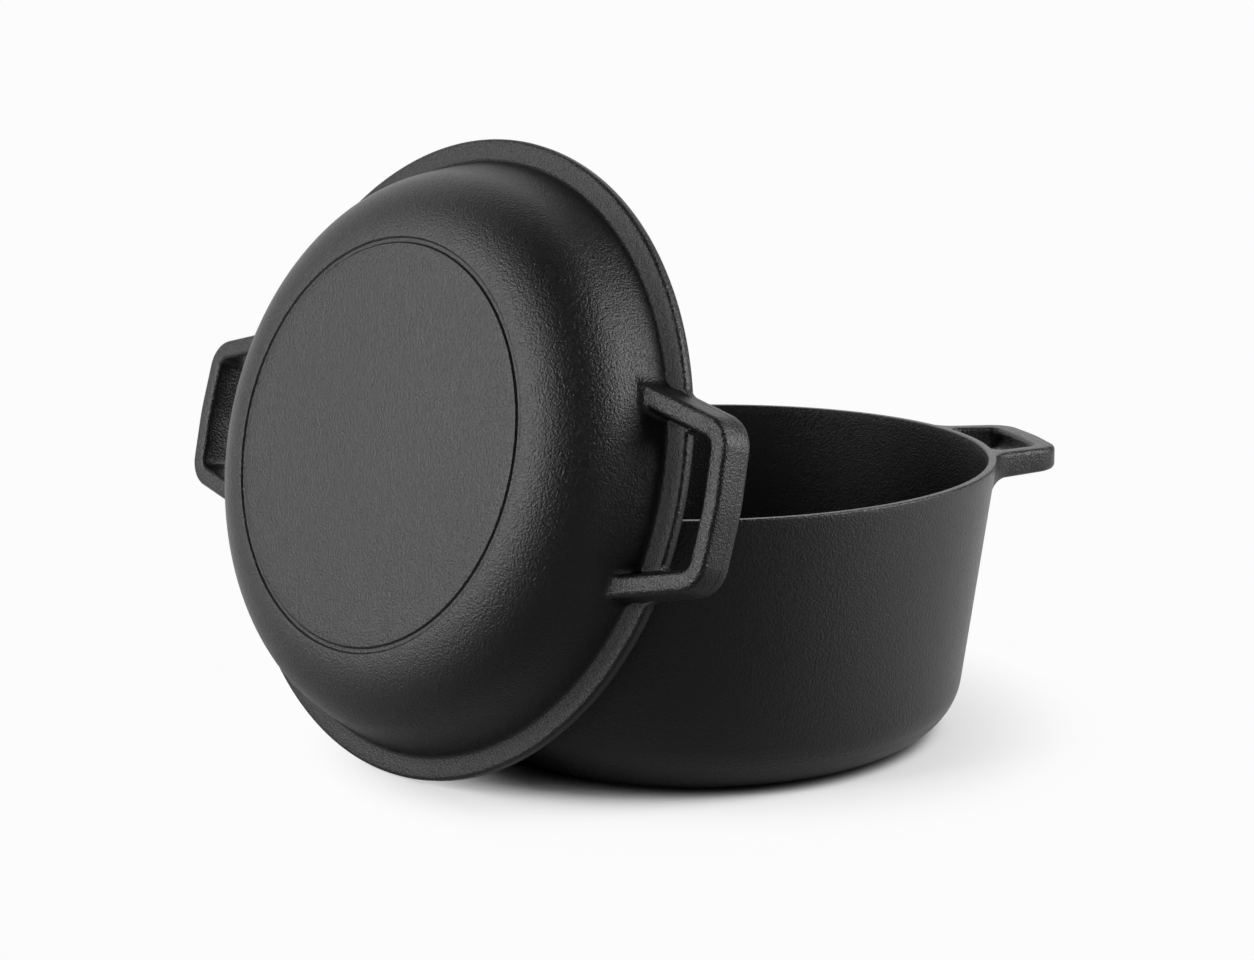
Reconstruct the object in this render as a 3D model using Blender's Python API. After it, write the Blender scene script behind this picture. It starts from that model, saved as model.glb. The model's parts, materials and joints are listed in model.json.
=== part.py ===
"""Cast iron bread pot: a deep bowl and a shallow domed lid, each cast in one with two loop handles.

Metres, +Z up. The origin is the middle of the bowl's flat base and +X runs through its handles.
The lid stands on its edge beside the bowl and leans in over the bowl's handle at -X, open side in,
so that its flange all but touches the bowl's rim.
"""
import math

import bmesh
import bpy
import numpy as np
from mathutils import Matrix, Vector

# Bowl
rim_radius = 0.130
pot_height = 0.1212
pot_taper = math.radians(8.3)
pot_wall = 0.0036
pot_floor = 0.0050
pot_corner = 0.0275
rim_edge = 0.0012

# Lid, measured from the plane of its rim
lid_overhang = 0.0060
flange_height = 0.0056
flange_edge = 0.0018
crease_inset = 0.0041
crease_fillet = 0.0020
dome_slope = math.radians(22.0)
dome_height = 0.0456
dome_corner = 0.0370
lid_wall = 0.0042
groove_width = 0.0030
groove_floor = 0.0015
groove_depth = 0.0009
register_depth = 0.0015
register_clearance = 0.0008
lid_radius = rim_radius + lid_overhang
crease_radius = rim_radius - crease_inset

# Loop handles: the bowl's pair, then the lid's, then what both share; lengths beyond the bowl's rim
pot_handle_length = 0.0306
pot_handle_root_half = 0.0355
pot_handle_tip_half = 0.0302
pot_handle_thickness = 0.0114
pot_outer_bar = 0.0106
pot_root_fillet = 0.0070
lid_handle_length = 0.0336
lid_handle_root_half = 0.0391
lid_handle_tip_half = 0.0326
lid_handle_thickness = 0.0145
lid_outer_bar = 0.0084
lid_bar_draft = math.radians(8.5)
lid_root_fillet = 0.0030
flange_fillet = 0.0080
handle_bow = 0.0016
bow_radius = 0.080
handle_thinning = 0.0008
side_bar = 0.0088
loop_radius = 0.0090
bar_edge = 0.0023
flare_turn = math.radians(75.0)
root_embed = 0.0018
foot_embed = 0.0005
foot_drop = 0.0006
rim_setback = 0.0005

# How the lid stands beside the bowl
lean_back = math.radians(16.04)
lean_bearing = math.radians(31.69)
side_shift = -0.0461
lean_clearance = 0.0003
edge_spacing = 0.0015
reach_step = 0.000005

# Facets
turn_steps = 72
corner_steps = 8
edge_steps = 2
loop_steps = 4
fillet_steps = 3
smooth_angle = math.radians(40.0)


def arc(centre, radius, start, end, steps):
    """Points along an arc, both ends included; angles in radians from the first axis."""
    points = []
    for i in range(steps + 1):
        angle = start + (end - start) * i / steps
        points.append((centre[0] + radius * math.cos(angle), centre[1] + radius * math.sin(angle)))
    return points


def rounded(corners):
    """A path of straight runs whose corners, given as (x, y, radius, steps), are turned by arcs."""
    path = [corners[0][:2]]
    for before, corner, after in zip(corners, corners[1:], corners[2:]):
        here = Vector(corner[:2])
        radius, steps = corner[2:]
        if radius == 0:
            path.append(tuple(here))
            continue
        back = (Vector(before[:2]) - here).normalized()
        ahead = (Vector(after[:2]) - here).normalized()
        half = back.angle(ahead) / 2
        centre = here + (back + ahead).normalized() * (radius / math.sin(half))
        first = here + back * (radius / math.tan(half)) - centre
        last = here + ahead * (radius / math.tan(half)) - centre
        turn = first.angle_signed(last)
        for i in range(steps + 1):
            angle = -turn * i / steps
            x = first.x * math.cos(angle) - first.y * math.sin(angle)
            y = first.x * math.sin(angle) + first.y * math.cos(angle)
            path.append((centre.x + x, centre.y + y))
    path.append(corners[-1][:2])
    return path


def pot_wall_radius(z):
    """Outer radius of the bowl's straight wall at a height."""
    return rim_radius - (pot_height - z) * math.tan(pot_taper)


def dome_wall_radius(z):
    """Outer radius of the dome's straight wall at a height over the lid's rim plane."""
    return crease_radius - (z - flange_height) * math.tan(dome_slope)


def lid_root_radius(z):
    """Radius that the lid's handles grow from: the dome's wall, and inside the flange its crease."""
    return dome_wall_radius(max(z, flange_height))


def dome_corner_centre():
    """Centre (radius, height) of the arc that turns the dome's wall into its flat base disc."""
    height = dome_height - dome_corner
    reach = dome_wall_radius(0.0) * math.cos(dome_slope)
    return (reach - dome_corner - height * math.sin(dome_slope)) / math.cos(dome_slope), height


def pot_profile():
    """Half section of the bowl: along the inside, over the rim and down the outside to the base."""
    wall_run = pot_wall / math.cos(pot_taper)
    inner_corner = pot_corner - pot_wall
    return rounded([
        (0.0, pot_floor),
        (pot_wall_radius(pot_floor) - wall_run, pot_floor, inner_corner, corner_steps),
        (rim_radius - wall_run, pot_height, rim_edge, edge_steps),
        (rim_radius, pot_height, rim_edge, edge_steps),
        (pot_wall_radius(0.0), 0.0, pot_corner, corner_steps),
        (0.0, 0.0),
    ])


def lid_profile():
    """Half section of the lid: base disc, ring groove, dome and flange, then back up the inside."""
    wall_run = lid_wall / math.cos(dome_slope)
    inner_corner = dome_corner - lid_wall
    inner_height = dome_height - lid_wall
    centre_r, centre_z = dome_corner_centre()
    groove_out = centre_r + groove_width / 2
    groove_in = centre_r - groove_width / 2
    lip_angle = math.acos(groove_width / 2 / dome_corner)
    lip_z = centre_z + dome_corner * math.sin(lip_angle)
    groove = [
        (groove_in, dome_height),
        (centre_r - groove_floor / 2, dome_height - groove_depth),
        (centre_r + groove_floor / 2, lip_z - groove_depth),
    ]
    dome = arc((centre_r, centre_z), dome_corner, lip_angle, dome_slope, corner_steps)
    register_radius = rim_radius - pot_wall / math.cos(pot_taper) - register_clearance
    flange = rounded([
        dome[-1],
        (crease_radius, flange_height, crease_fillet, edge_steps),
        (lid_radius, flange_height, flange_edge, edge_steps),
        (lid_radius, 0.0, flange_edge, edge_steps),
        (register_radius, 0.0, 0.0, 0),
        (register_radius, -register_depth, 0.0, 0),
        (dome_wall_radius(-register_depth) - wall_run, -register_depth, 0.0, 0),
        (dome_wall_radius(inner_height) - wall_run, inner_height, inner_corner, corner_steps),
        (0.0, inner_height),
    ])
    return [(0.0, dome_height)] + groove + dome + flange[1:]


def turned(name, profile):
    """A body of revolution: the half section carried once round Z by a Screw modifier."""
    mesh = bpy.data.meshes.new(name)
    mesh.from_pydata([(r, 0.0, z) for r, z in profile],
                     [(i, i + 1) for i in range(len(profile) - 1)], [])
    body = bpy.data.objects.new(name, mesh)
    bpy.context.collection.objects.link(body)
    screw = body.modifiers.new("Turn", 'SCREW')
    screw.axis = 'Z'
    screw.angle = 2 * math.pi
    screw.steps = turn_steps
    screw.render_steps = turn_steps
    screw.use_merge_vertices = True
    screw.merge_threshold = 0.00002
    return body


def half_width(width, top, z, draft):
    """Half the width of a bar at a height, where its sides spread downwards by the draft."""
    return width / 2 + (top - bar_edge - z) * math.tan(draft)


def bar_section(width, faces, draft, foot=0.0, foot_height=None):
    """Rounded bar section as (offset across the bar, height), anticlockwise seen along the bar.

    The width is taken at the top. A foot spreads the outer side, from the foot height down.
    """
    top, bottom = faces
    high = half_width(width, top, top - bar_edge, draft) - bar_edge
    low = half_width(width, top, bottom + bar_edge, draft) - bar_edge
    corners = [
        ((high, top - bar_edge), draft, math.pi / 2),
        ((-high, top - bar_edge), math.pi / 2, math.pi - draft),
        ((-low - foot, bottom + bar_edge), math.pi - draft, 1.5 * math.pi),
        ((low, bottom + bar_edge), 1.5 * math.pi, 2 * math.pi + draft),
    ]
    section = []
    for i, (centre, start, end) in enumerate(corners):
        section += arc(centre, bar_edge, start, end, edge_steps)
        if i == 1 and foot_height is not None:
            section.append((-half_width(width, top, foot_height, draft) - foot, foot_height))
    return section


def root_ring(point, inward, faces, grow, stand_off, growth, draft, foot_height, wall_radius):
    """A section of the side bar near its root, laid on a surface that follows the wall."""
    top, bottom = faces
    across = Vector((-inward.y, inward.x))
    grown = (top + grow[0] * growth, bottom - grow[1] * growth)
    ring = []
    for offset, z in bar_section(side_bar + 2 * growth, grown, draft, 0.0, foot_height):
        start = point + across * offset
        along = -start.dot(inward)
        miss = start + inward * along
        radius = wall_radius(z) + stand_off
        run = along - math.sqrt(radius ** 2 - miss.length_squared)
        spot = start + inward * run
        ring.append((spot.x, spot.y, z))
    return ring


def flange_foot(root, tip, side):
    """How far the side bar's outer side spreads, as (share of the way from root to tip, spread).

    The spread follows an arc that leaves the bar's side, which stands that far off its middle,
    and meets the flange's edge, both in line.
    """
    ahead = (tip - root).normalized()
    outward = Vector((-ahead.y, ahead.x))
    start = root + outward * (side + flange_fillet)
    reach = lid_radius - foot_embed + flange_fillet
    along = -start.dot(ahead) + math.sqrt(start.dot(ahead) ** 2 - start.length_squared + reach ** 2)
    centre = start + ahead * along
    turn = outward.angle(centre)
    feet = []
    for i in range(fillet_steps + 1):
        angle = turn * i / fillet_steps
        feet.append((along - flange_fillet * math.sin(angle), flange_fillet * (1 - math.cos(angle))))
    length = (tip - root).length
    return [(run / length, foot) for run, foot in feet]


def loop_handle(name, sizes, root_faces, tip_faces, wall_radius, draft=0.0, foot_height=None):
    """One loop handle at +X: a rounded bar swept round the loop, flaring where it meets the wall.

    The faces are the heights of its top and underside; the face that is level carries no flare.
    With a foot height, the side bars also spread to meet the flange, whose top is at that height.
    """
    length, root_half, tip_half, outer_bar, fillet = sizes
    tip_x = rim_radius + length - handle_bow - outer_bar / 2
    tip_y = tip_half - side_bar / 2
    root_x = rim_radius
    root_y = root_half - side_bar / 2
    path = rounded([
        (root_x, -root_y),
        (tip_x, -tip_y, loop_radius, loop_steps),
        (tip_x + handle_bow, 0.0, bow_radius, edge_steps),
        (tip_x, tip_y, loop_radius, loop_steps),
        (root_x, root_y),
    ])[1:-1]
    spots = [(x, y, 0.0) for x, y in path]
    if foot_height is not None:
        side = half_width(side_bar, root_faces[0], foot_height, draft)
        for run, foot in flange_foot(Vector((root_x, root_y)), Vector((tip_x, tip_y)), side):
            x = root_x + (tip_x - root_x) * run
            y = root_y + (tip_y - root_y) * run
            spots = [(x, -y, foot)] + spots + [(x, y, foot)]
    rings = []
    for i, (x, y, foot) in enumerate(spots):
        before = Vector(spots[max(i - 1, 0)][:2])
        after = Vector(spots[min(i + 1, len(spots) - 1)][:2])
        along = (after - before).normalized()
        across = Vector((-along.y, along.x))
        width = side_bar + (outer_bar - side_bar) * abs(along.y)
        share = min(1.0, (x - root_x) / (tip_x - root_x))
        faces = [root + (tip - root) * share for root, tip in zip(root_faces, tip_faces)]
        ring = []
        for offset, z in bar_section(width, faces, draft, foot, foot_height):
            ring.append((x + across.x * offset, y + across.y * offset, z))
        rings.append(ring)

    inward = Vector((root_x - tip_x, root_y - tip_y)).normalized()
    grow = [float(root != tip) for root, tip in zip(root_faces, tip_faces)]
    start_rings = []
    end_rings = []
    for i in range(loop_steps + 2):
        angle = flare_turn * min(i, loop_steps) / loop_steps
        stand_off = fillet * (1 - math.sin(angle)) if i <= loop_steps else -root_embed
        growth = fillet * (1 - math.cos(angle))
        ring = root_ring(Vector((tip_x, tip_y)), inward, root_faces, grow,
                         stand_off, growth, draft, foot_height, wall_radius)
        end_rings.append(ring)
        start_rings.append([(x, -y, z) for x, y, z in ring])
    rings = start_rings[::-1] + rings + end_rings

    mesh = bpy.data.meshes.new(name)
    form = bmesh.new()
    loops = [[form.verts.new(co) for co in ring] for ring in rings]
    count = len(loops[0])
    for near, far in zip(loops, loops[1:]):
        for i in range(count):
            j = (i + 1) % count
            form.faces.new((near[i], near[j], far[j], far[i]))
    form.faces.new(loops[0][::-1])
    form.faces.new(loops[-1])
    bmesh.ops.recalc_face_normals(form, faces=form.faces)
    form.to_mesh(mesh)
    form.free()
    handle = bpy.data.objects.new(name, mesh)
    bpy.context.collection.objects.link(handle)
    return handle


def cast_iron(name):
    """Matte black, dry-seasoned cast iron."""
    material = bpy.data.materials.new(name)
    material.use_nodes = True
    shader = material.node_tree.nodes["Principled BSDF"]
    shader.inputs["Base Color"].default_value = (0.030, 0.030, 0.032, 1.0)
    shader.inputs["Roughness"].default_value = 0.55
    shader.inputs["Metallic"].default_value = 0.3
    return material


def casting(name, profile, handle):
    """A turned body with a handle at each side, joined into one solid."""
    body = turned(name, profile)
    opposite = bpy.data.objects.new(name + "_handle_opposite", handle.data)
    bpy.context.collection.objects.link(opposite)
    opposite.rotation_euler.z = math.pi
    for form in (handle, opposite):
        join = body.modifiers.new("Handle", 'BOOLEAN')
        join.operation = 'UNION'
        join.solver = 'EXACT'
        join.object = form
    bpy.context.view_layer.update()
    solid = bpy.data.meshes.new_from_object(body.evaluated_get(bpy.context.evaluated_depsgraph_get()))
    body.modifiers.clear()
    body.data = solid
    solid.name = name
    for form in (handle, opposite):
        bpy.data.objects.remove(form)
    solid.shade_smooth()
    solid.set_sharp_from_angle(angle=smooth_angle)
    solid.materials.clear()
    solid.materials.append(cast_iron(name + "_iron"))
    return body


def build_pot():
    top = pot_height - rim_setback
    under = top - pot_handle_thickness
    sizes = (pot_handle_length, pot_handle_root_half, pot_handle_tip_half, pot_outer_bar, pot_root_fillet)
    handle = loop_handle("pot_handle", sizes, (top, under), (top, under + handle_thinning), pot_wall_radius)
    return casting("pot", pot_profile(), handle)


def build_lid():
    under = rim_setback
    top = under + lid_handle_thickness
    sizes = (lid_handle_length, lid_handle_root_half, lid_handle_tip_half, lid_outer_bar, lid_root_fillet)
    handle = loop_handle("lid_handle", sizes, (top, under), (top - handle_thinning, under),
                         lid_root_radius, lid_bar_draft, flange_height - foot_drop)
    return casting("lid", lid_profile(), handle)


def edge_points(body):
    """Points along every edge of a body, as an array of positions."""
    mesh = body.data
    points = []
    for edge in mesh.edges:
        start, end = [np.array(mesh.vertices[i].co) for i in edge.vertices]
        count = 1 + int(np.linalg.norm(end - start) / edge_spacing)
        for i in range(count):
            points.append(start + (end - start) * i / count)
    return np.array(points)


def clears(points):
    """True if no point, given in the lid's own frame, comes into the lid's iron."""
    gap = lean_clearance + lid_radius * (1 - math.cos(math.pi / turn_steps))
    radius = np.hypot(points[:, 0], points[:, 1]) + gap
    height = points[:, 2]
    centre_r, centre_z = dome_corner_centre()
    corner = dome_corner - lid_wall
    wall = dome_wall_radius(height) - lid_wall / math.cos(dome_slope)
    rounding = centre_r + np.sqrt(corner ** 2 - np.clip(height - centre_z, 0.0, corner) ** 2)
    limit = np.where(height > centre_z + corner * math.sin(dome_slope), rounding, wall)
    inside = (radius < limit) & (height < dome_height - lid_wall - gap)
    outside = (height < -register_depth - gap) | (radius > lid_radius + 2 * gap)
    return np.all(inside | outside)


def lean(lid, pot):
    """Stands the lid on its edge and moves it in until it all but touches the bowl or its handle."""
    outward = Vector((-math.cos(lean_bearing), -math.sin(lean_bearing), 0.0))
    up = Vector((0.0, 0.0, 1.0))
    axis = outward * math.cos(lean_back) + up * math.sin(lean_back)
    rise = up * math.cos(lean_back) - outward * math.sin(lean_back)
    side = rise.cross(axis)
    turn = Matrix((side, rise, axis)).transposed()
    height = -min((turn @ vertex.co).z for vertex in lid.data.vertices)
    points = edge_points(pot)
    near = 0.0
    far = rim_radius + pot_handle_length + lid_radius
    while far - near > reach_step:
        reach = (near + far) / 2
        place = outward * reach + side * side_shift + up * height
        if clears((points - np.array(place)) @ np.array(turn)):
            far = reach
        else:
            near = reach
    lid.location = outward * far + side * side_shift + up * height
    lid.rotation_euler = turn.to_euler()


for leftover in list(bpy.data.objects):
    bpy.data.objects.remove(leftover)
pot_object = build_pot()
lid_object = build_lid()
lean(lid_object, pot_object)
print("lid stands at", [round(value, 5) for value in lid_object.location])
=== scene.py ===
import json
import math

import bmesh
import bpy
from mathutils import Matrix, Vector


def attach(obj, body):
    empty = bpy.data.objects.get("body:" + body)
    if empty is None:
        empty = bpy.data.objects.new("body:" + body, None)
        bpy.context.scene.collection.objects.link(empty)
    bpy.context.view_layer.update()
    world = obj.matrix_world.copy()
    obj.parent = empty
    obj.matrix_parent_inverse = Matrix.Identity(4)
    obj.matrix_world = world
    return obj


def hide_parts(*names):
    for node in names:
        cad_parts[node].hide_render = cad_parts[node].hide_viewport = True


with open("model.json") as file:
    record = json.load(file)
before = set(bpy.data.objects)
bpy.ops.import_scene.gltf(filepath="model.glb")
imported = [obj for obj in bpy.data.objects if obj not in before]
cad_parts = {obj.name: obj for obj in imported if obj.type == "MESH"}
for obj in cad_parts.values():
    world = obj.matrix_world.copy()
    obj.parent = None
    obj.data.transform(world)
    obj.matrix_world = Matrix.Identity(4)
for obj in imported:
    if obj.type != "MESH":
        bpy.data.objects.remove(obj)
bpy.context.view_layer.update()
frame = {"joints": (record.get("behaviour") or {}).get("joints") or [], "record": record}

# A cast iron bread pot: the deep bowl, and the shallow domed lid that leans on it. Metres throughout.
# Each casting is turned from its half section by a Geometry Nodes tree, then gets its loop handles.

facets = {
    "turnSteps": 240,       # facets round a turned body
    "longestRun": 0.0040,   # longest step along the straights of a half section
    "arcStep": 0.0008,      # step along its rounded corners
    "loopSteps": 14,        # facets round the bend of a handle
    "flareSteps": 8,        # rings in the fillet where a handle grows out of its wall
    "edgeSteps": 5,         # facets round the edge of a bar
    "footSteps": 16,        # rings along the feet of the lid's handles
    "barRun": 0.0025,       # longest step along a bar
    "closeGap": 0.000001,   # points nearer than this are one point
    "sharpAngle": math.radians(38),
}


class Wire:
    # A socket in a node tree: operators and calc() add Math nodes, and make() adds any node

    def __init__(self, tree, socket=None):
        self.tree = tree
        self.socket = socket

    def make(self, kind, settings=None, inputs=None, out=0):
        node = self.tree.nodes.new(kind)
        for key, value in (settings or {}).items():
            setattr(node, key, value)
        for key, value in (inputs or {}).items():
            if isinstance(key, int):
                entry = node.inputs[key]
            else:
                entry = next(s for s in node.inputs if s.name == key and s.enabled)
            if isinstance(value, Wire):
                self.tree.links.new(value.socket, entry)
            else:
                entry.default_value = value
        if isinstance(out, int):
            return Wire(self.tree, node.outputs[out])
        return Wire(self.tree, next(s for s in node.outputs if s.name == out and s.enabled))

    def calc(self, operation, *values):
        return self.make('ShaderNodeMath', {"operation": operation}, dict(enumerate(values)))

    def __add__(self, other):
        return self.calc('ADD', self, other)

    def __radd__(self, other):
        return self.calc('ADD', other, self)

    def __sub__(self, other):
        return self.calc('SUBTRACT', self, other)

    def __rsub__(self, other):
        return self.calc('SUBTRACT', other, self)

    def __mul__(self, other):
        return self.calc('MULTIPLY', self, other)

    def __rmul__(self, other):
        return self.calc('MULTIPLY', other, self)

    def axes(self):
        parts = self.make('ShaderNodeSeparateXYZ', inputs={0: self})
        return [Wire(self.tree, socket) for socket in parts.socket.node.outputs]

    def ramp(self, low, high):
        # 0 below low, 1 above high, a soft step between
        return self.make('ShaderNodeMapRange', {"interpolation_type": 'SMOOTHSTEP'},
                         {"Value": self, "From Min": low, "From Max": high})

    def between(self, first, second):
        # a colour from first to second as this wire goes from 0 to 1
        return self.make('ShaderNodeMix', {"data_type": 'RGBA'},
                         {"Factor": self, "A": first, "B": second}, "Result")


# Outlines

def arcPoints(centre, radius, start, end, steps):
    points = []
    for i in range(steps + 1):
        angle = start + (end - start) * i / steps
        points.append((centre[0] + radius * math.cos(angle), centre[1] + radius * math.sin(angle)))
    return points


def roundedPath(corners, step):
    # straight runs between corners (x, y, radius), each corner turned by an arc
    path = [corners[0][:2]]
    for before, corner, after in zip(corners, corners[1:], corners[2:]):
        here = Vector(corner[:2])
        radius = corner[2]
        back = (Vector(before[:2]) - here).normalized()
        ahead = (Vector(after[:2]) - here).normalized()
        half = back.angle(ahead) / 2
        centre = here + (back + ahead).normalized() * (radius / math.sin(half))
        first = here + back * (radius / math.tan(half)) - centre
        last = here + ahead * (radius / math.tan(half)) - centre
        turn = first.angle_signed(last)
        count = max(3, round(abs(turn) * radius / step))
        for i in range(count + 1):
            angle = -turn * i / count
            x = first.x * math.cos(angle) - first.y * math.sin(angle)
            y = first.x * math.sin(angle) + first.y * math.cos(angle)
            path.append((centre.x + x, centre.y + y))
    path.append(corners[-1][:2])
    return path


def divided(path, longest):
    # the same path, with no step longer than this
    points = [Vector(path[0])]
    for end in path[1:]:
        start = points[-1]
        run = Vector(end) - start
        count = max(1, math.ceil(run.length / longest))
        points += [start + run * (i + 1) / count for i in range(count)]
    return points


# A turned body, from its half section in the plane of X and Z

def turnedTree():
    tree = bpy.data.node_groups.new("turnedFromHalfSection", 'GeometryNodeTree')
    for name, kind in (("Half Section", 'NodeSocketGeometry'), ("Turn Steps", 'NodeSocketInt'),
                       ("Close Gap", 'NodeSocketFloat'), ("Iron", 'NodeSocketMaterial')):
        tree.interface.new_socket(name=name, in_out='INPUT', socket_type=kind)
    tree.interface.new_socket(name="Casting", in_out='OUTPUT', socket_type='NodeSocketGeometry')
    entry = tree.nodes.new('NodeGroupInput')
    section, steps, gap, material = [Wire(tree, entry.outputs[i]) for i in range(4)]
    count = section.make('GeometryNodeAttributeDomainSize', {"component": 'MESH'}, {"Geometry": section},
                         "Point Count")
    grid = section.make('GeometryNodeMeshGrid', inputs={"Vertices X": count, "Vertices Y": steps + 1},
                        out="Mesh")
    place = section.make('GeometryNodeInputPosition')
    along, around, flat = place.axes()
    row = section.calc('ROUND', (along + 0.5) * (count - 1))
    angle = (around + 0.5) * math.tau
    spot = section.make('GeometryNodeSampleIndex', {"data_type": 'FLOAT_VECTOR'},
                        {"Geometry": section, "Value": place, "Index": row}, "Value")
    radius, side, height = spot.axes()
    turned = section.make('ShaderNodeCombineXYZ', inputs={
        "X": radius * section.calc('COSINE', angle),
        "Y": radius * section.calc('SINE', angle),
        "Z": height,
    })
    body = section.make('GeometryNodeSetPosition', inputs={"Geometry": grid, "Position": turned})
    body = section.make('GeometryNodeMergeByDistance', inputs={"Geometry": body, "Distance": gap})
    body = section.make('GeometryNodeRealizeInstances', inputs={"Geometry": body})
    body = section.make('GeometryNodeSetMaterial', inputs={"Geometry": body, "Material": material})
    leave = tree.nodes.new('NodeGroupOutput')
    tree.links.new(body.socket, leave.inputs[0])
    return tree


turning = turnedTree()


def turnedBody(name, path, material):
    points = divided(path, facets["longestRun"])
    outline = bpy.data.meshes.new(name + "Section")
    outline.from_pydata([(r, 0.0, z) for r, z in points], [(i, i + 1) for i in range(len(points) - 1)], [])
    body = bpy.data.objects.new(name, outline)
    bpy.context.collection.objects.link(body)
    turn = body.modifiers.new("Turn", 'NODES')
    turn.node_group = turning
    values = {"Turn Steps": facets["turnSteps"], "Close Gap": facets["closeGap"], "Iron": material}
    for entry in turning.interface.items_tree:
        if entry.name in values:
            turn[entry.identifier] = values[entry.name]
    solidify(body)
    form = bmesh.new()
    form.from_mesh(body.data)
    bmesh.ops.recalc_face_normals(form, faces=form.faces)
    form.to_mesh(body.data)
    form.free()
    return body


def solidify(body):
    # the evaluated shape becomes the object's own mesh
    bpy.context.view_layer.update()
    mesh = bpy.data.meshes.new_from_object(body.evaluated_get(bpy.context.evaluated_depsgraph_get()))
    body.modifiers.clear()
    body.data = mesh


# Loop handles: a rounded bar swept out of the wall, round the loop and back

loops = {
    "sideBar": 0.0088,       # width of a handle's two sides
    "barEdge": 0.0023,
    "loopRadius": 0.0090,
    "bow": 0.0016,           # how far the grip bows out
    "bowRadius": 0.080,
    "thinning": 0.0008,      # how much thinner a bar is at its grip
    "flareTurn": math.radians(78),
    "rootEmbed": 0.0018,     # how far a bar's end goes into its wall
    "footEmbed": 0.0005,
    "footDrop": 0.0002,      # how far a foot lies under the flange's face
    "footHollow": 0.0012,
    "footEdge": 0.0018,
    "footEase": 0.00003,     # least size of a foot's own curves, so that none of them closes up
    "rimSetback": 0.0005,    # how far a handle lies back from the plane of the rim
}


def halfWidth(width, top, z, draft):
    # of a bar at height z, as its sides spread downwards by the draft
    return width / 2 + (top - loops["barEdge"] - z) * math.tan(draft)


def barSection(width, faces, draft, feet, footHeight):
    # (offset across, height) round a bar, whose feet spread each side further below
    top, bottom = faces
    edge = loops["barEdge"]
    high = halfWidth(width, top, top - edge, draft) - edge
    low = halfWidth(width, top, bottom + edge, draft) - edge
    corners = [
        ((high, top - edge), draft, math.pi / 2),
        ((-high, top - edge), math.pi / 2, math.pi - draft),
        ((-low - feet[0], bottom + edge), math.pi - draft, 1.5 * math.pi),
        ((low + feet[1], bottom + edge), 1.5 * math.pi, 2 * math.pi + draft),
    ]
    section = []
    for i, (centre, start, end) in enumerate(corners):
        section += arcPoints(centre, edge, start, end, facets["edgeSteps"])
        if i == 1 and footHeight is not None:
            section += [(-x, z) for x, z in footProfile(width, top, draft, feet[0], footHeight)]
    if footHeight is not None:
        section += footProfile(width, top, draft, feet[1], footHeight)[::-1]
    return section


def footProfile(width, top, draft, foot, height):
    # down the bar's side, out along the foot's flat top and over its rounded edge
    hollow = min(foot / 2, loops["footHollow"]) + loops["footEase"]
    edge = min(foot / 2, loops["footEdge"]) + loops["footEase"]
    foot += 2 * loops["footEase"]
    steps = facets["edgeSteps"]
    side = halfWidth(width, top, height, draft)
    down = arcPoints((side + hollow, height + hollow), hollow, math.pi - draft, 1.5 * math.pi, steps)
    return down + arcPoints((side + foot - edge, height - edge), edge, math.pi / 2, 0.0, steps)


def loopEnds(sizes):
    # the middle of the bar where it leaves its wall, and where it bends into the grip
    root = (sizes["wallRadius"], sizes["rootHalf"] - loops["sideBar"] / 2)
    tip = (sizes["wallRadius"] + sizes["length"] - loops["bow"] - sizes["outerBar"] / 2,
           sizes["tipHalf"] - loops["sideBar"] / 2)
    return root, tip


def loopSpots(root, tip):
    # places along the middle of the bar, from the start of its first bend to the end of its last
    path = roundedPath([
        (root[0], -root[1]),
        (tip[0], -tip[1], loops["loopRadius"]),
        (tip[0] + loops["bow"], 0.0, loops["bowRadius"]),
        (*tip, loops["loopRadius"]),
        root,
    ], loops["loopRadius"] / facets["loopSteps"])
    return divided(path[1:-1], facets["barRun"])


def handleFeet(sizes, root, ahead):
    # On each side an arc that leaves the bar's side and meets the flange's edge, in line with both:
    # its radius, and how far out along the bar it ends and starts
    if sizes["footHeight"] is None:
        return []
    outward = Vector((-ahead.y, ahead.x))
    side = halfWidth(loops["sideBar"], sizes["rootFaces"][0], sizes["footHeight"], sizes["draft"])
    feet = []
    for fillet, out in zip(sizes["footFillets"], (outward, -outward)):
        start = root + out * (side + fillet)
        reach = sizes["flangeRadius"] - loops["footEmbed"] + fillet
        run = -start.dot(ahead) + math.sqrt(start.dot(ahead) ** 2 - start.length_squared + reach ** 2)
        turn = min(math.pi / 2, out.angle(start + ahead * run))
        feet.append((fillet, run, run - fillet * math.sin(turn)))
    return feet


def footLeg(feet, root, ahead):
    # closer places along the bar, where its feet run out
    first = min(foot[2] for foot in feet)
    last = max(foot[1] for foot in feet)
    steps = facets["footSteps"]
    return [root + ahead * (first + (last - first) * i / steps) for i in range(steps + 1)]


def footSpread(feet, run):
    # how far each foot stands out of the bar's side, this far along the bar
    spread = [0.0, 0.0]
    for i, (fillet, end, start) in enumerate(feet):
        if run < end:
            spread[i] = fillet - math.sqrt(max(0.0, fillet ** 2 - (end - max(run, start)) ** 2))
    return spread


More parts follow.
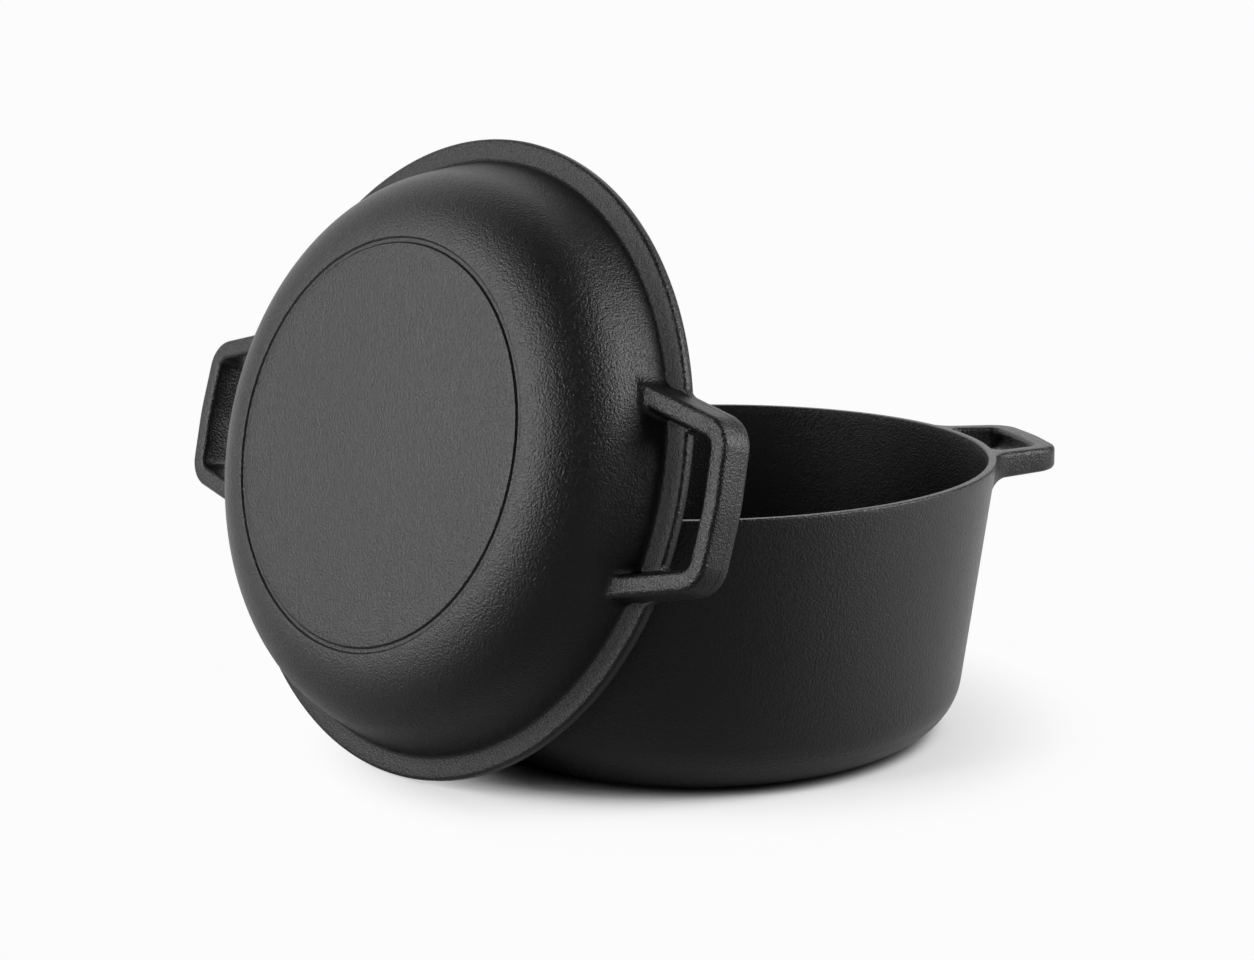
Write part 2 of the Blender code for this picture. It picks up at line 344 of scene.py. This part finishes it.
def barRings(sizes):
    # the bar's sections round the loop, from wall to wall
    ends = loopEnds(sizes)
    rootX, tipX = [end[0] for end in ends]
    root, tip = [Vector(end) for end in ends]
    ahead = (tip - root).normalized()
    spots = loopSpots(*ends)
    feet = handleFeet(sizes, root, ahead)
    if feet:
        leg = footLeg(feet, root, ahead)
        spots = [Vector((spot.x, -spot.y)) for spot in leg] + spots + leg[::-1]
    rings = []
    for i, spot in enumerate(spots):
        before = spots[max(i - 1, 0)]
        after = spots[min(i + 1, len(spots) - 1)]
        along = (after - before).normalized()
        across = Vector((-along.y, along.x))
        width = loops["sideBar"] + (sizes["outerBar"] - loops["sideBar"]) * abs(along.y)
        share = min(1.0, (spot.x - rootX) / (tipX - rootX))
        faces = [a + (b - a) * share for a, b in zip(sizes["rootFaces"], sizes["tipFaces"])]
        spread = footSpread(feet, (Vector((spot.x, abs(spot.y))) - root).dot(ahead))
        section = barSection(width, faces, sizes["draft"], spread, sizes["footHeight"])
        rings.append([(spot.x + across.x * offset, spot.y + across.y * offset, z) for offset, z in section])
    return rings


def flareRings(sizes, wallRadius):
    # from the grip's end of a side back into the wall, growing by the fillet on the way
    root, tip = [Vector(end) for end in loopEnds(sizes)]
    inward = -(tip - root).normalized()
    across = Vector((-inward.y, inward.x))
    fillet = sizes["rootFillet"]
    top, bottom = sizes["rootFaces"]
    topGrows, bottomGrows = [float(a != b) for a, b in zip(sizes["rootFaces"], sizes["tipFaces"])]
    steps = facets["flareSteps"]
    rings = []
    for i in range(steps + 2):
        angle = loops["flareTurn"] * min(i, steps) / steps
        standOff = fillet * (1 - math.sin(angle)) if i <= steps else -loops["rootEmbed"]
        growth = fillet * (1 - math.cos(angle))
        width = loops["sideBar"] + 2 * growth
        faces = (top + topGrows * growth, bottom - bottomGrows * growth)
        ring = []
        for offset, z in barSection(width, faces, sizes["draft"], (0.0, 0.0), sizes["footHeight"]):
            start = tip + across * offset
            run = -start.dot(inward)
            miss = start + inward * run
            run -= math.sqrt((wallRadius(z) + standOff) ** 2 - miss.length_squared)
            spot = start + inward * run
            ring.append((spot.x, spot.y, z))
        rings.append(ring)
    return rings


def loopHandle(name, sizes, wallRadius, material):
    ending = flareRings(sizes, wallRadius)
    starting = [[(x, -y, z) for x, y, z in ring] for ring in ending[::-1]]
    rings = starting + barRings(sizes) + ending
    form = bmesh.new()
    verts = [[form.verts.new(spot) for spot in ring] for ring in rings]
    count = len(verts[0])
    for near, far in zip(verts, verts[1:]):
        for i in range(count):
            j = (i + 1) % count
            form.faces.new((near[i], near[j], far[j], far[i]))
    form.faces.new(verts[0][::-1])
    form.faces.new(verts[-1])
    bmesh.ops.recalc_face_normals(form, faces=form.faces)
    mesh = bpy.data.meshes.new(name)
    form.to_mesh(mesh)
    form.free()
    mesh.materials.append(material)
    handle = bpy.data.objects.new(name, mesh)
    bpy.context.collection.objects.link(handle)
    return handle


def withHandles(body, handle):
    # the handle and its twin on the far side become one with the body
    opposite = bpy.data.objects.new(handle.name + "Opposite", handle.data)
    bpy.context.collection.objects.link(opposite)
    opposite.rotation_euler.z = math.pi
    for form in (handle, opposite):
        join = body.modifiers.new("Handle", 'BOOLEAN')
        join.operation = 'UNION'
        join.solver = 'EXACT'
        join.object = form
    solidify(body)
    for form in (handle, opposite):
        bpy.data.objects.remove(form)


def placed(body, place, node):
    # the place goes into the mesh, and the finished piece stands for its CAD node
    body.data.transform(place)
    body.data.shade_smooth()
    body.data.set_sharp_from_angle(angle=facets["sharpAngle"])
    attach(body, node)
    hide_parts(node)
    print(body.name, "has", sum(len(face.vertices) - 2 for face in body.data.polygons), "triangles")


# Seasoned cast iron: matte black over the fine orange peel that sand leaves on a casting

iron = {
    "colour": (0.0024, 0.0024, 0.0025, 1.0),
    "paleColour": (0.0048, 0.0048, 0.0049, 1.0),
    "roughness": 0.355,
    "roughnessSpread": 0.08,       # how far the roughness changes from cloud to cloud
    "fleckSpread": 0.25,           # and from grain to grain
    "fleckRange": (0.35, 0.75),    # grains turn pale between these
    "fleckShare": 0.7,             # the grains' share of the colour, over the clouds'
    "rimWear": 0.10,               # how much smoother the bowl's rim is worn
    "innerMatt": 0.08,             # how much rougher its inside is
    "flangeMatt": 0.11,            # and the face of the lid's flange
    "specular": 0.36,
    "peel": (0.0014, 1.0, 0.5),    # size, detail and roughness of the orange peel's bumps
    "peelHeight": 0.00015,
    "sand": (0.0009, 2.0, 0.6),    # the sand grain on it
    "sandHeight": 0.00040,
    "cloud": (0.050, 3.0, 0.5),    # slow change of the seasoning
}


def castIron(name, grainCentre, finish):
    # finish gives the change of roughness for a place on the casting
    material = bpy.data.materials.new(name)
    material.use_nodes = True
    tree = material.node_tree
    shader = tree.nodes["Principled BSDF"]
    start = Wire(tree)
    coords = start.make('ShaderNodeTexCoord', out="Object")
    spot = start.make('ShaderNodeMapping', inputs={"Vector": coords, "Location": [-x for x in grainCentre]})

    def noise(size, detail, roughness):
        return start.make('ShaderNodeTexNoise', inputs={
            "Vector": spot, "Scale": 1 / size, "Detail": detail, "Roughness": roughness}, out="Fac")

    peel = noise(*iron["peel"])
    sand = noise(*iron["sand"])
    cloud = noise(*iron["cloud"])
    height = peel * iron["peelHeight"] + sand * iron["sandHeight"]
    bump = start.make('ShaderNodeBump', inputs={"Height": height, "Distance": 1.0, "Strength": 1.0},
                      out="Normal")
    fleck = sand.ramp(*iron["fleckRange"]) * iron["fleckShare"]
    pale = fleck + cloud * (1 - iron["fleckShare"])
    colour = pale.between(iron["colour"], iron["paleColour"])
    rough = iron["roughness"] + (cloud - 0.5) * iron["roughnessSpread"] + (sand - 0.5) * iron["fleckSpread"]
    rough = rough + finish(coords)
    tree.links.new(colour.socket, shader.inputs["Base Color"])
    tree.links.new(rough.socket, shader.inputs["Roughness"])
    tree.links.new(bump.socket, shader.inputs["Normal"])
    shader.inputs["Specular IOR Level"].default_value = iron["specular"]
    return material


# The bowl

bowl = {
    "rimRadius": 0.130,
    "height": 0.1212,
    "taper": math.radians(8.3),
    "wall": 0.0036,
    "floor": 0.0050,
    "corner": 0.0275,
    "rimEdge": 0.0008,
    "wearReach": (0.0010, 0.0001),     # below the rim's top, where its wear starts and is whole
    "innerReach": 0.0012,              # from mid wall inwards, how far the inside's finish fades in
    "floorReach": (0.0015, 0.0005),    # below the floor's face, where it starts and is whole
    "grainCentre": (0.0, 0.0, 0.0),
}
bowlHandle = {
    "wallRadius": bowl["rimRadius"],
    "length": 0.0306,
    "rootHalf": 0.0355,
    "tipHalf": 0.0302,
    "thickness": 0.0114,
    "outerBar": 0.0106,
    "rootFillet": 0.0070,
    "draft": 0.0,
    "footHeight": None,
}


def bowlWallRadius(z):
    return bowl["rimRadius"] - (bowl["height"] - z) * math.tan(bowl["taper"])


def bowlFinish(coords):
    # smoother on the rim, rougher inside
    x, y, z = coords.axes()
    radius = coords.calc('SQRT', x * x + y * y)
    middle = (z - bowl["height"]) * math.tan(bowl["taper"]) + (bowl["rimRadius"] - bowl["wall"] / 2)
    inside = (middle - radius).ramp(0.0, bowl["innerReach"])
    inside = inside * z.ramp(*[bowl["floor"] - depth for depth in bowl["floorReach"]])
    worn = z.ramp(*[bowl["height"] - depth for depth in bowl["wearReach"]])
    return inside * (1 - worn) * iron["innerMatt"] - worn * iron["rimWear"]


def bowlSection():
    wallRun = bowl["wall"] / math.cos(bowl["taper"])
    return roundedPath([
        (0.0, bowl["floor"]),
        (bowlWallRadius(bowl["floor"]) - wallRun, bowl["floor"], bowl["corner"] - bowl["wall"]),
        (bowl["rimRadius"] - wallRun, bowl["height"], bowl["rimEdge"]),
        (bowl["rimRadius"], bowl["height"], bowl["rimEdge"]),
        (bowlWallRadius(0.0), 0.0, bowl["corner"]),
        (0.0, 0.0),
    ], facets["arcStep"])


bowlIron = castIron("bowlIron", bowl["grainCentre"], bowlFinish)
bowlTop = bowl["height"] - loops["rimSetback"]   # the handle's top and underside, at the wall and at the grip
bowlUnder = bowlTop - bowlHandle["thickness"]
bowlHandle["rootFaces"] = (bowlTop, bowlUnder)
bowlHandle["tipFaces"] = (bowlTop, bowlUnder + loops["thinning"])
bowlCasting = turnedBody("bowlCasting", bowlSection(), bowlIron)
withHandles(bowlCasting, loopHandle("bowlHandle", bowlHandle, bowlWallRadius, bowlIron))
placed(bowlCasting, Matrix.Identity(4), "pot")
print("bowl cast")


# The lid, measured from the plane of its rim

lid = {
    "radius": bowl["rimRadius"] + 0.0060,
    "flangeHeight": 0.0056,
    "flangeDish": 0.0006,      # how much lower its face lies at the crease
    "flangeEdge": 0.0018,
    "creaseRadius": bowl["rimRadius"] - 0.0041,
    "creaseFillet": 0.0022,
    "domeSlope": math.radians(22.0),
    "domeHeight": 0.0456,
    "domeCorner": 0.0370,
    "wall": 0.0042,
    "grooveWidth": 0.0030,
    "grooveFloor": 0.0015,
    "grooveDepth": 0.0009,
    "grooveEdge": 0.0003,
    "registerDepth": 0.0015,
    "registerClearance": 0.0008,
    "registerEdge": 0.0004,
    "creaseReach": 0.0025,              # from the crease inwards, over which the flange's finish fades
    "dullHeight": (0.0010, 0.0050),     # and above the flange's face
    "grainCentre": (0.31, 0.17, 0.05),
}
lidHandle = {
    "wallRadius": bowl["rimRadius"],
    "length": 0.0336,
    "rootHalf": 0.0391,
    "tipHalf": 0.0326,
    "thickness": 0.0145,
    "outerBar": 0.0084,
    "rootFillet": 0.0030,
    "draft": math.radians(8.5),
    "footFillets": (0.0080, 0.0030),   # outside the loop, inside the loop
    "footHeight": lid["flangeHeight"] - loops["footDrop"],
    "flangeRadius": lid["radius"],
}


def domeWallRadius(z):
    return lid["creaseRadius"] - (z - lid["flangeHeight"]) * math.tan(lid["domeSlope"])


def lidRootRadius(z):
    return domeWallRadius(max(z, lid["flangeHeight"]))


def lidSection():
    slope = lid["domeSlope"]
    corner = lid["domeCorner"]
    wallRun = lid["wall"] / math.cos(slope)
    innerHeight = lid["domeHeight"] - lid["wall"]
    centreZ = lid["domeHeight"] - corner
    centreR = (domeWallRadius(0.0) * math.cos(slope) - corner - centreZ * math.sin(slope)) / math.cos(slope)
    lipAngle = math.acos(lid["grooveWidth"] / 2 / corner)
    lip = (centreR + corner * math.cos(lipAngle), centreZ + corner * math.sin(lipAngle))
    steps = round(corner * (lipAngle - slope) / facets["arcStep"])
    dome = arcPoints((centreR, centreZ), corner, lipAngle, slope, steps)
    groove = roundedPath([
        (0.0, lid["domeHeight"]),
        (centreR - lid["grooveWidth"] / 2, lid["domeHeight"], lid["grooveEdge"]),
        (centreR - lid["grooveFloor"] / 2, lid["domeHeight"] - lid["grooveDepth"], lid["grooveEdge"]),
        (centreR + lid["grooveFloor"] / 2, lip[1] - lid["grooveDepth"], lid["grooveEdge"]),
        (*lip, lid["grooveEdge"]),
        dome[2],
    ], facets["arcStep"])
    registerRadius = bowl["rimRadius"] - bowl["wall"] / math.cos(bowl["taper"]) - lid["registerClearance"]
    registerZ = -lid["registerDepth"]
    creaseZ = lid["flangeHeight"] - lid["flangeDish"]
    registerEdge = lid["registerEdge"]
    flange = roundedPath([
        dome[-1],
        (domeWallRadius(creaseZ), creaseZ, lid["creaseFillet"]),
        (lid["radius"], lid["flangeHeight"], lid["flangeEdge"]),
        (lid["radius"], 0.0, lid["flangeEdge"]),
        (registerRadius, 0.0, registerEdge),
        (registerRadius, registerZ, registerEdge),
        (domeWallRadius(registerZ) - wallRun, registerZ, registerEdge),
        (domeWallRadius(innerHeight) - wallRun, innerHeight, corner - lid["wall"]),
        (0.0, innerHeight),
    ], facets["arcStep"])
    return groove + dome[3:] + flange[1:]   # the groove takes up the start of the dome


def lidPlace():
    # from the frame: the lid's axis is its joint's, and the disc's middle is a mount
    axis = Vector(frame["joints"][0]["axis"]).normalized()
    disc = next(m for m in frame["record"]["mounts"] if m["name"] == "lid_disc")
    across = Vector((0.0, 0.0, 1.0)).cross(axis).normalized()
    turn = Matrix((across, axis.cross(across), axis)).transposed().to_4x4()
    return Matrix.Translation(Vector(disc["pos_m"]) - axis * lid["domeHeight"]) @ turn


def lidFinish(coords):
    # rougher on the flange's face and in its crease
    back = lidPlace().inverted()
    own = coords.make('ShaderNodeMapping', inputs={
        "Vector": coords, "Location": back.to_translation(), "Rotation": back.to_euler()})
    x, y, z = own.axes()
    radius = own.calc('SQRT', x * x + y * y)
    face = radius.ramp(lid["creaseRadius"] - lid["creaseReach"], lid["creaseRadius"])
    edge = radius.ramp(lid["radius"] - lid["flangeEdge"], lid["radius"])
    high = z.ramp(*[lid["flangeHeight"] + height for height in lid["dullHeight"]])
    return face * (1 - edge) * (1 - high) * iron["flangeMatt"]


lidIron = castIron("lidIron", lid["grainCentre"], lidFinish)
lidUnder = loops["rimSetback"]
lidTop = lidUnder + lidHandle["thickness"]
lidHandle["rootFaces"] = (lidTop, lidUnder)
lidHandle["tipFaces"] = (lidTop - loops["thinning"], lidUnder)
lidCasting = turnedBody("lidCasting", lidSection(), lidIron)
withHandles(lidCasting, loopHandle("lidHandle", lidHandle, lidRootRadius, lidIron))
placed(lidCasting, lidPlace(), "lid")
print("lid cast")


# Studio: a pale floor that sweeps up behind, three soft boxes and a dim room

studio = {
    "floorColour": (0.85, 0.85, 0.85, 1.0),
    "paintedShadeColour": (0.22, 0.22, 0.22, 1.0),   # painted shade: a dark patch on the floor before the camera, which only the iron's reflections see
    "paintedShadeMiddle": (-0.16, -0.44, 0.0),
    "paintedShadeReach": (0.26, 0.46),     # it fades out between these distances from its middle
    "backReach": (0.20, 0.60),     # behind the pot, the iron sees the floor turn plain white between these
    "shadowReach": (0.108, 0.18),  # round the pot, the camera does so between these
    "contactReach": 0.030,         # how near the floor the iron starts to paint a contact shadow on it
    "contactOpen": (0.03, 0.40),   # open share of the space over it there, from darkest to plain
    "contactShadowColour": (0.03, 0.03, 0.03, 1.0),
    "white": 0.973,
    "roomLight": 0.05,
    "floorHalf": 3.0,
    "sweepStart": 1.6,
    "sweepRadius": 0.8,
    "sweepHeight": 2.6,
    "sweepStep": 0.05,
}
softBoxes = {
    # name: (place, aim, width, height, brightness)
    "left": ((-1.717, -0.10, 0.74), (-0.15, -0.04, 0.14), 1.32, 1.3, 6.8),
    "right": ((1.28, -0.70, 1.10), (-0.03, -0.08, 0.70), 1.10, 1.70, 8.7),
    "back": ((0.0, 1.25, 1.75), (0.0, 0.0, 0.05), 2.2, 1.4, 0.5),
}


def floorMaterial():
    material = bpy.data.materials.new("paleFloor")
    material.use_nodes = True
    tree = material.node_tree
    tree.nodes.remove(tree.nodes["Principled BSDF"])
    start = Wire(tree)
    path = tree.nodes.new('ShaderNodeLightPath')
    camera = Wire(tree, path.outputs["Is Camera Ray"])
    glossy = Wire(tree, path.outputs["Is Glossy Ray"])
    coords = start.make('ShaderNodeTexCoord', out="Object")

    def distance(place):
        return start.make('ShaderNodeVectorMath', {"operation": 'DISTANCE'}, {0: coords, 1: place}, "Value")

    # painted shade: for all but camera rays, the floor's colour turns dark in front of the pot, for the
    # iron's reflections
    lit = start.calc('MAXIMUM', camera, distance(studio["paintedShadeMiddle"]).ramp(*studio["paintedShadeReach"]))
    colour = lit.between(studio["paintedShadeColour"], studio["floorColour"])
    # painted contact shadow: the floor's colour darkens where the iron closes over it
    sky = start.make('ShaderNodeAmbientOcclusion', inputs={"Distance": studio["contactReach"]}, out="AO")
    colour = sky.ramp(*studio["contactOpen"]).between(studio["contactShadowColour"], colour)
    paint = start.make('ShaderNodeBsdfDiffuse', inputs={"Color": colour})
    plain = start.make('ShaderNodeEmission', inputs={"Strength": studio["white"]})
    far = distance((0.0, 0.0, 0.0)).ramp(*studio["shadowReach"])
    back = coords.axes()[1].ramp(*studio["backReach"])
    floor = start.make('ShaderNodeMixShader', inputs={0: camera * far + glossy * back, 1: paint, 2: plain})
    tree.links.new(floor.socket, tree.nodes["Material Output"].inputs["Surface"])
    return material


def buildFloor():
    half = studio["floorHalf"]
    radius = studio["sweepRadius"]
    back = studio["sweepStart"] + radius
    top = studio["sweepHeight"]
    line = roundedPath([(-half, 0.0), (back, 0.0, radius), (back, top)], studio["sweepStep"])
    mesh = bpy.data.meshes.new("paleFloor")
    verts = [(x, y, z) for y, z in line for x in (-half, half)]
    faces = [(2 * i, 2 * i + 1, 2 * i + 3, 2 * i + 2) for i in range(len(line) - 1)]
    mesh.from_pydata(verts, [], faces)
    mesh.shade_smooth()
    mesh.materials.append(floorMaterial())
    floor = bpy.data.objects.new("paleFloor", mesh)
    bpy.context.collection.objects.link(floor)


def buildLights():
    for name, (place, aim, width, height, brightness) in softBoxes.items():
        lamp = bpy.data.lights.new(name + "SoftBox", 'AREA')
        lamp.shape = 'RECTANGLE'
        lamp.size = width
        lamp.size_y = height
        lamp.energy = brightness * width * height * math.pi
        box = bpy.data.objects.new(name + "SoftBox", lamp)
        box.location = place
        box.rotation_euler = (Vector(aim) - Vector(place)).to_track_quat('-Z', 'Y').to_euler()
        bpy.context.collection.objects.link(box)
    room = bpy.data.worlds.new("room")
    room.use_nodes = True
    tree = room.node_tree
    start = Wire(tree)
    path = tree.nodes.new('ShaderNodeLightPath')
    seen = Wire(tree, path.outputs["Is Camera Ray"])
    level = seen * (studio["white"] - studio["roomLight"]) + studio["roomLight"]
    back = tree.nodes["Background"]
    tree.links.new(level.socket, back.inputs["Strength"])
    back.inputs["Color"].default_value = (1.0, 1.0, 1.0, 1.0)
    bpy.context.scene.world = room


# Camera, where the photographer stood: about a metre off, a little over the rim

view = {
    "place": (-0.270266, -0.987269, 0.325412),
    "ahead": (0.228932, 0.951534, -0.205362),
    "roll": math.radians(-1.0055),
    "lens": 67.925,
    "sensor": 36.0,
}


def buildCamera():
    camera = bpy.data.cameras.new("camera")
    camera.lens = view["lens"]
    camera.sensor_width = view["sensor"]
    eye = bpy.data.objects.new("camera", camera)
    ahead = Vector(view["ahead"]).normalized()
    right = ahead.cross(Vector((0.0, 0.0, 1.0))).normalized()
    up = right.cross(ahead)
    roll = view["roll"]
    across = right * math.cos(roll) + up * math.sin(roll)
    rise = up * math.cos(roll) - right * math.sin(roll)
    turn = Matrix((across, rise, -ahead)).transposed().to_4x4()
    eye.matrix_world = Matrix.Translation(Vector(view["place"])) @ turn
    bpy.context.collection.objects.link(eye)
    bpy.context.scene.camera = eye


buildFloor()
buildLights()
buildCamera()
bpy.context.scene.view_settings.view_transform = 'Standard'
print("studio set")
